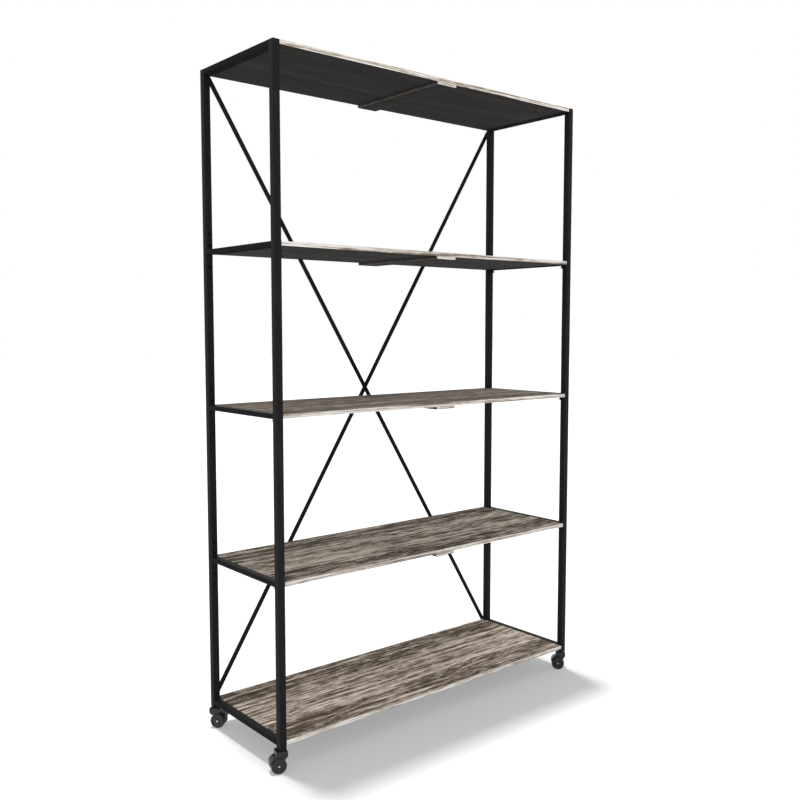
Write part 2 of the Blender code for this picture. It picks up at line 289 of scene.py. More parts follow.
class Nodes:
    """Short names for building one material's node tree."""

    def __init__(self, name):
        self.material = bpy.data.materials.new(name)
        self.material.use_nodes = True
        self.tree = self.material.node_tree
        self.shader = self.tree.nodes["Principled BSDF"]

    def link(self, source, target):
        """Join an output socket to an input socket."""
        self.tree.links.new(source, target)

    def place(self, scale=(1.0, 1.0, 1.0), offset=(0.0, 0.0, 0.0)):
        """Object coordinates, stretched and shifted."""
        coordinates = self.tree.nodes.new("ShaderNodeTexCoord")
        mapping = self.tree.nodes.new("ShaderNodeMapping")
        mapping.inputs["Scale"].default_value = scale
        mapping.inputs["Location"].default_value = offset
        self.link(coordinates.outputs["Object"], mapping.inputs["Vector"])
        return mapping.outputs["Vector"]

    def noise(self, vector, scale=1.0, detail=4.0, rough=0.55):
        """Fractal noise, mostly between 0.3 and 0.7."""
        node = self.tree.nodes.new("ShaderNodeTexNoise")
        node.inputs["Scale"].default_value = scale
        node.inputs["Detail"].default_value = detail
        node.inputs["Roughness"].default_value = rough
        self.link(vector, node.inputs["Vector"])
        return node.outputs["Fac"]

    def math(self, operation, first, second=0.0):
        """One sum on two inputs, each a number or a socket."""
        node = self.tree.nodes.new("ShaderNodeMath")
        node.operation = operation
        for socket, value in zip(node.inputs, (first, second)):
            if isinstance(value, (int, float)):
                socket.default_value = value
            else:
                self.link(value, socket)
        return node.outputs["Value"]

    def ramp(self, factor, stops):
        """Colour ramp; each stop is a position and a grey or a colour."""
        node = self.tree.nodes.new("ShaderNodeValToRGB")
        elements = node.color_ramp.elements
        while len(elements) < len(stops):
            elements.new(0.5)
        for element, (position, value) in zip(elements, stops):
            element.position = position
            colour = (value, value, value) if isinstance(value, float) else value
            element.color = (*colour, 1.0)
        self.link(factor, node.inputs["Fac"])
        return node.outputs["Color"]

    def mix(self, factor, first, second, blend="MIX"):
        """Two colours blended; factor and colours may be values or sockets."""
        node = self.tree.nodes.new("ShaderNodeMix")
        node.data_type = "RGBA"
        node.blend_type = blend
        sockets = (node.inputs["Factor"], node.inputs[6], node.inputs[7])
        for socket, value in zip(sockets, (factor, first, second)):
            if isinstance(value, (int, float)):
                socket.default_value = value
            elif isinstance(value, tuple):
                socket.default_value = (*value, 1.0)
            else:
                self.link(value, socket)
        return node.outputs[2]

    def bump(self, height, strength, distance):
        """A normal bent by a height."""
        node = self.tree.nodes.new("ShaderNodeBump")
        node.inputs["Strength"].default_value = strength
        node.inputs["Distance"].default_value = distance
        self.link(height, node.inputs["Height"])
        return node.outputs["Normal"]

    def finish(self, colour, roughness, normal=None, **constants):
        """Wire the shader: colour and roughness may be sockets, constants stay on the shader."""
        for name, value in (("Base Color", colour), ("Roughness", roughness)):
            if isinstance(value, tuple):
                self.shader.inputs[name].default_value = (*value, 1.0)
            elif isinstance(value, float):
                self.shader.inputs[name].default_value = value
            else:
                self.link(value, self.shader.inputs[name])
        if normal is not None:
            self.link(normal, self.shader.inputs["Normal"])
        for name, value in constants.items():
            self.shader.inputs[name.replace("_", " ")].default_value = value
        return self.material


def warped_grain(nodes, seed):
    """Board coordinates with the grain bent gently sideways, so that streaks wander."""
    place = nodes.place(offset=(seed * 1.7, seed * 0.61, seed * 0.33))
    split = nodes.tree.nodes.new("ShaderNodeSeparateXYZ")
    nodes.link(place, split.inputs["Vector"])
    sway = nodes.noise(nodes.place(SWAY_SCALE, (seed, seed, 0.0)), detail=2.0)
    ripple = nodes.noise(nodes.place(RIPPLE_SCALE, (seed, 0.0, seed)), detail=2.0)
    slow, quick = nodes.math("MULTIPLY", sway, SWAY_REACH), nodes.math("MULTIPLY", ripple, RIPPLE_REACH)
    shift = nodes.math("ADD", slow, quick)
    join = nodes.tree.nodes.new("ShaderNodeCombineXYZ")
    nodes.link(split.outputs["X"], join.inputs["X"])
    nodes.link(nodes.math("ADD", split.outputs["Y"], shift), join.inputs["Y"])
    nodes.link(split.outputs["Z"], join.inputs["Z"])
    return join.outputs["Vector"]


def scaled(nodes, vector, scale):
    """A vector multiplied by a fixed scale."""
    node = nodes.tree.nodes.new("ShaderNodeMapping")
    node.inputs["Scale"].default_value = scale
    nodes.link(vector, node.inputs["Vector"])
    return node.outputs["Vector"]


def wood_layers(nodes, seed):
    """The layers that all wood faces share: bands, long streaks, short streaks and fine fibre."""
    grain = warped_grain(nodes, seed)
    bands = nodes.noise(scaled(nodes, grain, BAND_SCALE), detail=3.0, rough=0.6)
    streaks = nodes.noise(scaled(nodes, grain, STREAK_SCALE), detail=5.0, rough=0.68)
    flecks = nodes.noise(scaled(nodes, grain, FLECK_SCALE), detail=5.0, rough=0.7)
    fibre = nodes.noise(scaled(nodes, grain, FIBRE_SCALE), detail=4.0, rough=0.7)
    return bands, streaks, flecks, fibre


def weighted(nodes, layers):
    """One half, plus each layer's swing about one half times its weight."""
    total = 0.5
    for layer, weight in layers:
        swing = nodes.math("SUBTRACT", layer, 0.5)
        total = nodes.math("ADD", nodes.math("MULTIPLY", swing, weight), total)
    return total


def plank_bands(nodes, seed):
    """Broad bands across a board: one pale band towards the front, darker ones by both long edges."""
    split = nodes.tree.nodes.new("ShaderNodeSeparateXYZ")
    nodes.link(nodes.place(), split.inputs["Vector"])
    sway = nodes.noise(nodes.place(PLANK_SWAY_SCALE, (seed, seed * 0.4, 0.0)), detail=3.0)
    swing = nodes.math("MULTIPLY", nodes.math("SUBTRACT", sway, 0.5), PLANK_SWAY_REACH)
    across = nodes.math("ADD", split.outputs["Y"], swing)
    across = nodes.math("ADD", nodes.math("MULTIPLY", across, 2.5), 0.5)
    return nodes.ramp(across, (
        (0.00, 0.58), (0.07, 0.42), (0.20, 0.36), (0.28, 0.60), (0.36, 0.74), (0.44, 0.44), (0.56, 0.56),
        (0.74, 0.50), (0.85, 0.30), (0.96, 0.46)))


def weathered_top(name, seed, shade, contrast):
    """Grey-brown weathered wood: dark and pale streaks, thin dark cracks, whitewashed patches."""
    nodes = Nodes(name)
    bands, streaks, flecks, fibre = wood_layers(nodes, seed)
    plank = plank_bands(nodes, seed)
    layers = ((plank, 0.38), (bands, 0.22), (streaks, 1.00), (flecks, 0.80), (fibre, 0.40))
    tone = weighted(nodes, [(layer, weight * contrast) for layer, weight in layers])
    base = nodes.ramp(tone, (
        (0.36, (0.060, 0.045, 0.033)), (0.44, (0.145, 0.110, 0.083)), (0.50, (0.262, 0.210, 0.168)),
        (0.56, (0.440, 0.380, 0.320)), (0.65, (0.800, 0.730, 0.645))))
    crack = nodes.noise(scaled(nodes, warped_grain(nodes, seed + 3.0), CRACK_SCALE), detail=3.0)
    crack = nodes.math("ABSOLUTE", nodes.math("SUBTRACT", crack, 0.5))
    base = nodes.mix(0.8, base, nodes.ramp(crack, ((0.0, 0.35), (0.015, 0.65), (0.04, 1.0))), "MULTIPLY")
    patch = nodes.noise(nodes.place(PATCH_SCALE, (seed * 0.9, seed, 0.0)), detail=6.0, rough=0.75)
    patch = nodes.math("MULTIPLY", nodes.ramp(patch, ((0.53, 0.0), (0.60, 1.0))), plank)
    base = nodes.mix(patch, base, nodes.mix(fibre, (0.46, 0.40, 0.34), (0.88, 0.82, 0.74)))
    base = nodes.mix(1.0, base, tuple(shade * tint for tint in TOP_TINT), "MULTIPLY")
    height = nodes.math("ADD", nodes.math("MULTIPLY", streaks, 0.6), nodes.math("MULTIPLY", fibre, 0.4))
    normal = nodes.bump(height, 0.55, 0.0006)
    rough = nodes.ramp(tone, ((0.3, 0.74), (0.7, 0.90)))
    return nodes.finish(base, rough, normal, Specular_IOR_Level=0.10)


def pale_edge(name, seed, shade=1.0):
    """Pale, worn wood on the cut edges, with thin darker lines along the grain."""
    nodes = Nodes(name)
    bands, _streaks, flecks, fibre = wood_layers(nodes, seed)
    lines = nodes.noise(scaled(nodes, warped_grain(nodes, seed + 5.0), EDGE_LINE_SCALE), rough=0.6)
    tone = weighted(nodes, ((bands, 0.4), (lines, 1.0), (flecks, 0.3), (fibre, 0.3)))
    base = nodes.ramp(tone, (
        (0.40, (0.20, 0.155, 0.12)), (0.47, (0.46, 0.40, 0.34)), (0.54, (0.74, 0.69, 0.64)),
        (0.66, (0.90, 0.88, 0.85))))
    base = nodes.mix(1.0, base, (shade, shade, shade), "MULTIPLY")
    normal = nodes.bump(tone, 0.5, 0.0005)
    return nodes.finish(base, 0.85, normal, Specular_IOR_Level=0.1)


def dark_under(name, seed, lift=1.0):
    """Near-black stained wood with faint grain; lift raises it towards a paler brown, used as painted light
    on the batten's sides and for its paler lower arrises.
    """
    nodes = Nodes(name)
    bands, streaks, flecks, fibre = wood_layers(nodes, seed)
    tone = weighted(nodes, ((bands, 0.5), (streaks, 0.4), (flecks, 0.3)))
    base = nodes.ramp(tone, ((0.38, (0.017 * lift, 0.016 * lift, 0.015 * lift)),
                             (0.50, (0.023 * lift, 0.021 * lift, 0.0195 * lift)),
                             (0.64, (0.034 * lift, 0.031 * lift, 0.029 * lift))))
    normal = nodes.bump(nodes.math("ADD", streaks, fibre), 0.35, 0.0004)
    rough = nodes.ramp(fibre, ((0.3, 0.82), (0.7, 0.94)))
    return nodes.finish(base, rough, normal, Specular_IOR_Level=0.04)


def powder_coat(name, shade, sheen):
    """Black powder coat: fine orange peel, slight sheen changes, a few dusty grey scuffs."""
    nodes = Nodes(name)
    peel = nodes.noise(nodes.place(), scale=1400.0, detail=2.0)
    wave = nodes.noise(nodes.place(), scale=260.0, detail=2.0)
    cloud = nodes.noise(nodes.place((1.0, 1.0, 0.25), (3.0, 1.0, 2.0)), scale=34.0, detail=5.0)
    base = nodes.ramp(cloud, ((0.30, (0.0100, 0.0101, 0.0104)), (0.60, (0.0135, 0.0136, 0.0140)),
                              (0.80, (0.0200, 0.0200, 0.0205))))
    base = nodes.mix(1.0, base, (shade, shade, shade), "MULTIPLY")
    height = nodes.math("ADD", nodes.math("MULTIPLY", peel, 0.4), nodes.math("MULTIPLY", wave, 0.6))
    normal = nodes.bump(height, 0.30, 0.00025)
    rough = nodes.ramp(cloud, ((0.3, 0.46), (0.7, 0.60)))
    return nodes.finish(base, rough, normal, Specular_IOR_Level=sheen)


def nylon(name, colour, roughness):
    """Moulded nylon with a fine spark-eroded texture."""
    nodes = Nodes(name)
    grain = nodes.noise(nodes.place(), scale=2200.0, detail=2.0)
    cloud = nodes.noise(nodes.place(offset=(1.0, 2.0, 3.0)), scale=90.0, detail=3.0)
    dark = tuple(0.7 * c for c in colour)
    base = nodes.ramp(cloud, ((0.3, dark), (0.7, colour)))
    rough = nodes.ramp(cloud, ((0.3, roughness - 0.06), (0.7, roughness + 0.06)))
    return nodes.finish(base, rough, nodes.bump(grain, 0.22, 0.00012), Specular_IOR_Level=0.35)


def zinc():
    """Bright zinc plate with faint turning marks."""
    nodes = Nodes("zinc_plate")
    marks = nodes.noise(nodes.place((60.0, 60.0, 2600.0)), detail=2.0)
    cloud = nodes.noise(nodes.place(), scale=160.0, detail=3.0)
    base = nodes.ramp(cloud, ((0.3, (0.55, 0.55, 0.56)), (0.7, (0.75, 0.75, 0.76))))
    rough = nodes.ramp(cloud, ((0.3, 0.28), (0.7, 0.42)))
    return nodes.finish(base, rough, nodes.bump(marks, 0.2, 0.0001), Metallic=1.0)


STEEL = powder_coat("black_powder_coat", 1.0, 0.045)
# Shaded copies of the powder coat for the rails, as painted shade: the sides darker and less glossy, the
# undersides without sheen so they show no reflection of the floor
RAIL_SIDE_PAINTED_SHADE = powder_coat("black_rail_side_painted_shade", 0.7, 0.02)
RAIL_UNDER_PAINTED_SHADE = powder_coat("black_rail_underside_painted_shade", 1.1, 0.0)
HOOD_NYLON = nylon("hood_nylon", (0.014, 0.014, 0.015), 0.30)
WHEEL_NYLON = nylon("wheel_nylon", (0.020, 0.020, 0.021), 0.36)
ZINC = zinc()


# Boards and battens -----------------------------------------------------------------------

def board_section(y0, y1, z0, z1):
    """Points round a board's section, with the index of each face: 0 top, 1 edge, 2 underside."""
    points, faces = [], []
    arc = [math.radians(90.0 * i / EASE_STEPS) for i in range(EASE_STEPS + 1)]
    rows = int((y1 - y0 - 2 * EASE) / GRAIN_PITCH)
    for i in range(rows + 1):
        points.append((y0 + EASE + (y1 - y0 - 2 * EASE) * i / rows, z1))
        faces.append(0)
    points += [(y1 - EASE + EASE * math.sin(a), z1 - EASE + EASE * math.cos(a)) for a in arc[1:]]
    points += [(y1 - EASE + EASE * math.cos(a), z0 + EASE - EASE * math.sin(a)) for a in arc]
    faces[-1] = 1
    faces += [1] * (2 * EASE_STEPS + 1)
    for i in range(1, UNDER_ROWS + 1):
        points.append((y1 - EASE - (y1 - y0 - 2 * EASE) * i / UNDER_ROWS, z0))
        faces.append(2)
    faces[-UNDER_ROWS - 1] = 2
    points += [(y0 + EASE - EASE * math.sin(a), z0 + EASE - EASE * math.cos(a)) for a in arc[1:]]
    points += [(y0 + EASE - EASE * math.cos(a), z1 - EASE + EASE * math.sin(a)) for a in arc[:-1]]
    faces[-1] = 1
    faces += [1] * (2 * EASE_STEPS)
    return points, faces


def groove(x, y, seed):
    """Depth of the weathered grain below the board's face, between 0 and 1."""
    sway = noise.noise(Vector((x * 1.6, y * 9.0, seed))) * 0.02
    broad = noise.noise(Vector((x * 2.4, (y + sway) * 60.0, seed + 4.0)))
    fine = noise.noise(Vector((x * 7.0, (y + sway) * 210.0, seed + 9.0)))
    return min(1.0, max(0.0, 0.45 - 0.45 * broad - 0.45 * fine))


def build_board(number):
    """One shelf board, with grain worn into its top and gently uneven long edges."""
    node = "shelf_%d_board" % number
    low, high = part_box(node)
    section, faces = board_section(low.y, high.y, low.z, high.z)
    centre_y, middle_z = (low.y + high.y) / 2, (low.z + high.z) / 2
    steps = round((high.x - low.x) / STATION_PITCH)
    spans = [(low.x + EASE * at, EASE * inset) for at, inset in BOARD_TIPS]
    spans += [(low.x + EASE + (high.x - low.x - 2 * EASE) * i / steps, 0.0) for i in range(steps + 1)]
    spans += [(high.x - EASE * at, EASE * inset) for at, inset in reversed(BOARD_TIPS)]
    bm = bmesh.new()
    rings = []
    for x, inset in spans:
        ring = []
        for y, z in section:
            y_in = y - math.copysign(min(inset, abs(y - centre_y)), y - centre_y)
            if z > middle_z:
                z_in = min(z, high.z - inset) - GROOVE_DEPTH * groove(x, y, number * 3.1)
            else:
                z_in = max(z, low.z + inset)
            if y - low.y < 0.5 * EASE or high.y - y < 0.5 * EASE:
                wear = EDGE_WEAR * (0.5 + noise.noise(Vector((x * 22.0, y * 3.0, z * 160.0 + number))))
                y_in -= math.copysign(max(0.0, wear), y - centre_y)
            ring.append(bm.verts.new((x, y_in, z_in)))
        rings.append(ring)
    count = len(section)
    for lower, upper in zip(rings, rings[1:]):
        for i in range(count):
            j = (i + 1) % count
            face = bm.faces.new((lower[i], lower[j], upper[j], upper[i]))
            face.material_index = faces[i]
    for ring in (rings[0], rings[-1]):
        bm.faces.new(ring).material_index = 1
    bmesh.ops.recalc_face_normals(bm, faces=bm.faces[:])
    top = weathered_top("weathered_top_%d" % number, number * 2.3, TOP_SHADE[number], TOP_CONTRAST[number])
    materials = (top,
                 pale_edge("pale_edge_%d" % number, number * 2.3, EDGE_SHADE[number]),
                 dark_under("dark_under_%d" % number, number * 2.3))
    board = piece_from(bm, node + "_wood", body_for_shelf(number), node, materials)
    smooth(board)


def build_batten(number):
    """The batten under a board: pale at its two cut ends, dark on its sides and underside."""
    node = "shelf_%d_batten" % number
    low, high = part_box(node)
    ease, rows = BATTEN_EASE, BATTEN_ROWS
    outline = rounded((low.x, low.z), (high.x, high.z), ease, 3)
    centre_x, centre_z = (low.x + high.x) / 2, (low.z + high.z) / 2
    half_x, half_z = (high.x - low.x) / 2, (high.z - low.z) / 2

    def ring(y, inset):
        near_x, near_z = 1 - inset / half_x, 1 - inset / half_z
        return [(centre_x + (x - centre_x) * near_x, y, centre_z + (z - centre_z) * near_z)
                for x, z in outline]

    rings = [ring(low.y, ease), ring(low.y + ease * MID_FACET, ease * MID_FACET)]
    rings += [ring(low.y + ease + (high.y - low.y - 2 * ease) * i / rows, 0.0) for i in range(rows + 1)]
    rings += [ring(high.y - ease * MID_FACET, ease * MID_FACET), ring(high.y, ease)]
    bm = bmesh.new()
    loft(bm, rings)
    for face in bm.faces:
        middle = face.calc_center_median()
        if min(middle.y - low.y, high.y - middle.y) < 1.2 * ease:
            face.material_index = 1
        # The lower arrises: painted much paler than the underside
        elif middle.z < low.z + 0.6 * ease and face.normal.z > -0.95:
            face.material_index = 2
        # The sides: painted light, paler than the underside to make up for the shade they sit in
        elif abs(face.normal.x) > 0.7:
            face.material_index = 3
    seed = number * 5.9 + 1.0
    materials = (dark_under("batten_dark_%d" % number, seed),
                 pale_edge("batten_end_%d" % number, seed),
                 dark_under("batten_arris_%d" % number, seed, BATTEN_ARRIS_LIFT),
                 dark_under("batten_side_painted_light_%d" % number, seed, BATTEN_SIDE_PAINTED_LIGHT))
    batten = piece_from(bm, node + "_wood", body_for_shelf(number), node, materials)
    smooth(batten)


def body_for_shelf(number):
    """The CAD body that a shelf's pieces ride on."""
    return "frame" if number in FIXED_SHELVES else "shelf_%d" % number


# Steel frame ------------------------------------------------------------------------------

def pin_heights():
    """Height of each lifting shelf's pins."""
    return [sum(corner.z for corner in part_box("shelf_%d_front_left_pin" % n)) / 2
            for n in LIFTING_SHELVES]


def build_post(end_name, side_name):
    """A square tube with rounded corners, a closed top, and clean round holes with chamfers."""
    node = "%s_%s_post" % (end_name, side_name)
    low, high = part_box(node)
    outline = rounded((low.x, low.y), (high.x, high.y), POST_CORNER, 5)
    top_ease, wall = POST_TOP_EASE, POST_WALL
    centre = (low + high) / 2

    def ring(z, inset):
        near = 1 - inset / ((high.x - low.x) / 2)
        return [(centre.x + (x - centre.x) * near, centre.y + (y - centre.y) * near, z) for x, y in outline]

    bm = bmesh.new()
    loft(bm, [ring(low.z, top_ease * 0.5), ring(low.z + top_ease * 0.5, 0.0), ring(high.z - top_ease, 0.0),
              ring(high.z - top_ease * MID_FACET, top_ease * MID_FACET), ring(high.z, top_ease)])
    post = piece_from(bm, node + "_tube", "frame", node, (STEEL,))
    inner = bmesh.new()
    hollow = rounded((low.x + wall, low.y + wall), (high.x - wall, high.y - wall), POST_CORNER * 0.4, 3)
    loft(inner, [[(x, y, low.z + 2 * wall) for x, y in hollow], [(x, y, high.z - wall) for x, y in hollow]])
    boolean(post, inner)
    inward = 1.0 if end_name == "front" else -1.0
    face_y = high.y if inward > 0 else low.y
    holes = bmesh.new()
    profile = ((0.0, -HOLE_DEPTH), (HOLE_RADIUS, -HOLE_DEPTH), (HOLE_RADIUS, -HOLE_CHAMFER),
               (HOLE_RADIUS + 2 * HOLE_CHAMFER, HOLE_CHAMFER), (0.0, HOLE_CHAMFER))
    for height in pin_heights():
        for i in range(-HOLES_EACH_SIDE, HOLES_EACH_SIDE + 1):
            start = Vector((centre.x, face_y, height + i * HOLE_STEP))
            lathe(holes, profile, HOLE_SIDES, along(start, start + Vector((0.0, inward, 0.0))))
    foot_end = (centre.x, centre.y, low.z + 4 * wall)
    cylinder(holes, (centre.x, centre.y, low.z - OVERSHOOT), foot_end, STEM_BORE, BORE_SIDES)
    if end_name == "rear":
        for rod in ("falling", "rising"):
            for x, z in stud_places(rod):
                if low.x < x < high.x:
                    start, end = (x, centre.y + STUD_HOLE_START, z), (x, high.y + OVERSHOOT, z)
                    cylinder(holes, start, end, STUD_HOLE_RADIUS, BORE_SIDES)
    boolean(post, holes)
    smooth(post)


def rectangle_middle(points):
    """Middle, in X and Z, of the rectangle round some points."""
    across, up = [co.x for co in points], [co.z for co in points]
    return (min(across) + max(across)) / 2, (min(up) + max(up)) / 2


def stud_places(which):
    """Centres in X and Z of a brace rod's two studs, left one first."""
    node = "%s_brace_rod" % which
    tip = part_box(node)[0].y + TOUCH
    corners = [v.co for v in frame["nodes"][node].data.vertices if v.co.y < tip]
    return [rectangle_middle([co for co in corners if co.x * side > 0.0]) for side in (-1.0, 1.0)]


def rod_ends(which):
    """Where a brace rod's axis meets its two end faces, in X and Z, left one first."""
    node = "%s_brace_rod" % which
    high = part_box(node)[1]
    rear = [v.co for v in frame["nodes"][node].data.vertices if v.co.y > high.y - TOUCH]
    near_end = 0.8 * high.x
    return [rectangle_middle([co for co in rear if co.x * side > near_end]) for side in (-1.0, 1.0)]


def crossing():
    """Where the two rods' axes cross, in X and Z."""
    (x0, z0), (x1, z1) = rod_ends("falling")
    (u0, w0), (u1, w1) = rod_ends("rising")
    fall, rise = (z1 - z0) / (x1 - x0), (w1 - w0) / (u1 - u0)
    x = (z0 - w0 - fall * x0 + rise * u0) / (rise - fall)
    return x, z0 + fall * (x - x0)


def build_rod(which, other, kept):
    """A round brace rod: rounded tips, a lug and a stud at each rear post, halved over the other rod.

    kept is -1 when the front half stays at the crossing, +1 when the rear half does.
    """
    node = "%s_brace_rod" % which
    low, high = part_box(node)
    radius = ROD_RADIUS
    axis_y = high.y - radius
    (x0, z0), (x1, z1) = rod_ends(which)
    a, b = Vector((x0, axis_y, z0)), Vector((x1, axis_y, z1))
    length = (b - a).length
    tip, rows = ROD_TIP, ROD_ROWS
    profile = [(0.0, 0.0), (radius - tip, 0.0), (radius - tip * MID_FACET, tip * MID_FACET), (radius, tip)]
    profile += [(radius, tip + (length - 2 * tip) * i / rows) for i in range(1, rows)]
    profile += [(radius, length - tip), (radius - tip * MID_FACET, length - tip * MID_FACET)]
    profile += [(radius - tip, length), (0.0, length)]
    bm = bmesh.new()
    lathe(bm, profile, ROD_STEPS, along(a, b))
    rod = piece_from(bm, node + "_steel", "frame", node, (STEEL,))
    lugs, studs = bmesh.new(), bmesh.new()
    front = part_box("rear_left_post")[1].y + LUG_FRONT
    slope = (z1 - z0) / (x1 - x0)
    for x, z in stud_places(which):
        side = math.copysign(1.0, x)
        on_axis = x0 + (z - z0) / slope
        left, right = sorted((on_axis, x + side * LUG_REACH))
        outline = rounded((left, z - LUG_HALF_HEIGHT), (right, z + LUG_HALF_HEIGHT), LUG_CORNER, 4)
        loft(lugs, [[(u, y, w) for u, w in outline] for y in (front, front + LUG_THICK)])
        cylinder(studs, (x, front + LUG_THICK / 2, z), (x, low.y, z), STUD_RADIUS, BORE_SIDES)
    boolean(rod, lugs, "UNION")
    boolean(rod, studs, "UNION")
    (u0, w0), (u1, w1) = rod_ends(other)
    x, z = crossing()
    place = Matrix.Translation((x, axis_y - kept * (radius - LAP_GAP / 2), z))
    tilt = Matrix.Rotation(-math.atan2(w1 - w0, u1 - u0), 4, "Y")
    notch = bmesh.new()
    bmesh.ops.create_cube(notch, size=1.0, matrix=place @ tilt @ Matrix.Diagonal(
        (8 * radius, 2 * radius, 2 * (radius + LAP_GAP), 1.0)))
    boolean(rod, notch)
    smooth(rod)


def build_rail(number, side_name):
    """An end rail with rounded corners and the flange that the board's end lies on."""
    node = "shelf_%d_%s_rail" % (number, side_name)
    low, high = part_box(node)
    side = -1.0 if side_name == "left" else 1.0
    outer = low.x if side < 0 else high.x
    post_low, post_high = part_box("front_%s_post" % side_name)
    inner = outer - side * (post_high.x - post_low.x)
    reach = high.x if side < 0 else low.x
    flange_top = low.z + FLANGE_THICK
    corners = [(outer, low.z), (outer, high.z), (inner, high.z), (inner, flange_top), (reach, flange_top),
               (reach, low.z)]
    outline = []
    for i, corner in enumerate(corners):
        before, after = Vector(corners[i - 1]), Vector(corners[(i + 1) % len(corners)])
        here = Vector(corner)
        r = FLANGE_CORNER if i in (3, 4, 5) else RAIL_CORNER
        enter = here + (before - here).normalized() * r
        leave = here + (after - here).normalized() * r
        for t in (0.0, 0.25, 0.5, 0.75, 1.0):
            outline.append(tuple(enter.lerp(here, t).lerp(here.lerp(leave, t), t)))
    bm = bmesh.new()
    stations = [low.y + (high.y - low.y) * i / RAIL_ROWS for i in range(RAIL_ROWS + 1)]
    loft(bm, [[(x, y, z) for x, z in outline] for y in stations])
    # Rail sides and undersides take the shaded copies of the powder coat: painted shade
    for face in bm.faces:
        face.material_index = 2 if face.normal.z < -0.7 else 1 if abs(face.normal.x) > 0.7 else 0
    rail = piece_from(bm, node + "_steel", body_for_shelf(number), node,
                      (STEEL, RAIL_SIDE_PAINTED_SHADE, RAIL_UNDER_PAINTED_SHADE))
    smooth(rail)


def build_pin(number, end_name, side_name):
    """A turned shelf pin: chamfered head, shoulder groove and a rounded tail in the post."""
    node = "shelf_%d_%s_%s_pin" % (number, end_name, side_name)
    low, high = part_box(node)
    inward = 1.0 if end_name == "front" else -1.0
    post_low, post_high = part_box("%s_%s_post" % (end_name, side_name))
    face = post_high.y if inward > 0 else post_low.y
    centre = (low + high) / 2
    tail = abs((low.y if inward > 0 else high.y) - face)
    reach = abs((high.y if inward > 0 else low.y) - face)
    shank, head = PIN_SHANK, (high.x - low.x) / 2
    profile = ((0.0, -tail), (shank - 0.0008, -tail), (shank, -tail + 0.0010), (shank, 0.0003),
               (head - 0.0003, 0.0003), (head, 0.0006), (head, 0.0016), (head - 0.0007, 0.0022),
               (head - 0.0007, reach - 0.0030), (head, reach - 0.0024), (head, reach - 0.0010),
               (head - 0.0003, reach - 0.0003), (head - 0.0010, reach), (0.0, reach))
    bm = bmesh.new()
    start = Vector((centre.x, face, centre.z))
    lathe(bm, profile, PIN_SIDES, along(start, start + Vector((0.0, inward, 0.0))))
    pin = piece_from(bm, node + "_steel", "frame", node, (STEEL,))
    smooth(pin)


# Casters ----------------------------------------------------------------------------------

def joint(name):
    """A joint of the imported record, by name."""
    return next(j for j in frame["joints"] if j["name"] == name)


def caster_frame(base):
    """Matrix of a caster: origin on the floor under the stem, +X the way the wheels trail."""
    pivot = Vector(joint(base + "_swivel")["pos_m"])
    axle = Vector(joint(base + "_inner_wheel_roll")["pos_m"])
    trail = Vector((axle.x - pivot.x, axle.y - pivot.y, 0.0))
    turn = Matrix.Rotation(math.atan2(trail.y, trail.x), 4, "Z")
    return Matrix.Translation((pivot.x, pivot.y, 0.0)) @ turn, trail.length, axle.z


def local_span(node, place):
    """Lowest and highest corner of a CAD node in a local frame."""
    back = place.inverted()
    points = np.array([back @ v.co for v in frame["nodes"][node].data.vertices])
    return points.min(0), points.max(0)


def build_stem(base):
    """The stem: threaded shank up into the post, a round collar and the swivel pin."""
    node = base + "_caster_stem"
    low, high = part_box(node)
    centre = (low + high) / 2
    r, collar = STEM_RADIUS, (high.x - low.x) / 2
    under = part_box(base + "_caster_hood")[1].z + COLLAR_GAP
    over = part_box(base + "_post")[0].z - COLLAR_GAP
    profile = [(0.0, low.z), (r - COLLAR_EASE, low.z), (r, low.z + STEM_EASE), (r, under),
               (collar - COLLAR_EASE, under), (collar, under + COLLAR_EASE),
               (collar, over - COLLAR_EASE), (collar - COLLAR_EASE, over), (r, over)]
    turns = int((high.z - over - 0.002) / THREAD_PITCH)
    for i in range(turns):
        z = over + STEM_EASE + i * THREAD_PITCH
        profile += [(r, z), (r - THREAD_DEPTH, z + THREAD_PITCH / 2)]
    profile += [(r, high.z - STEM_EASE), (r - STEM_EASE, high.z), (0.0, high.z)]
    bm = bmesh.new()
    lathe(bm, profile, STEM_SIDES, Matrix.Translation((centre.x, centre.y, 0.0)))
    smooth(piece_from(bm, node + "_steel", "frame", node, (ZINC,)))


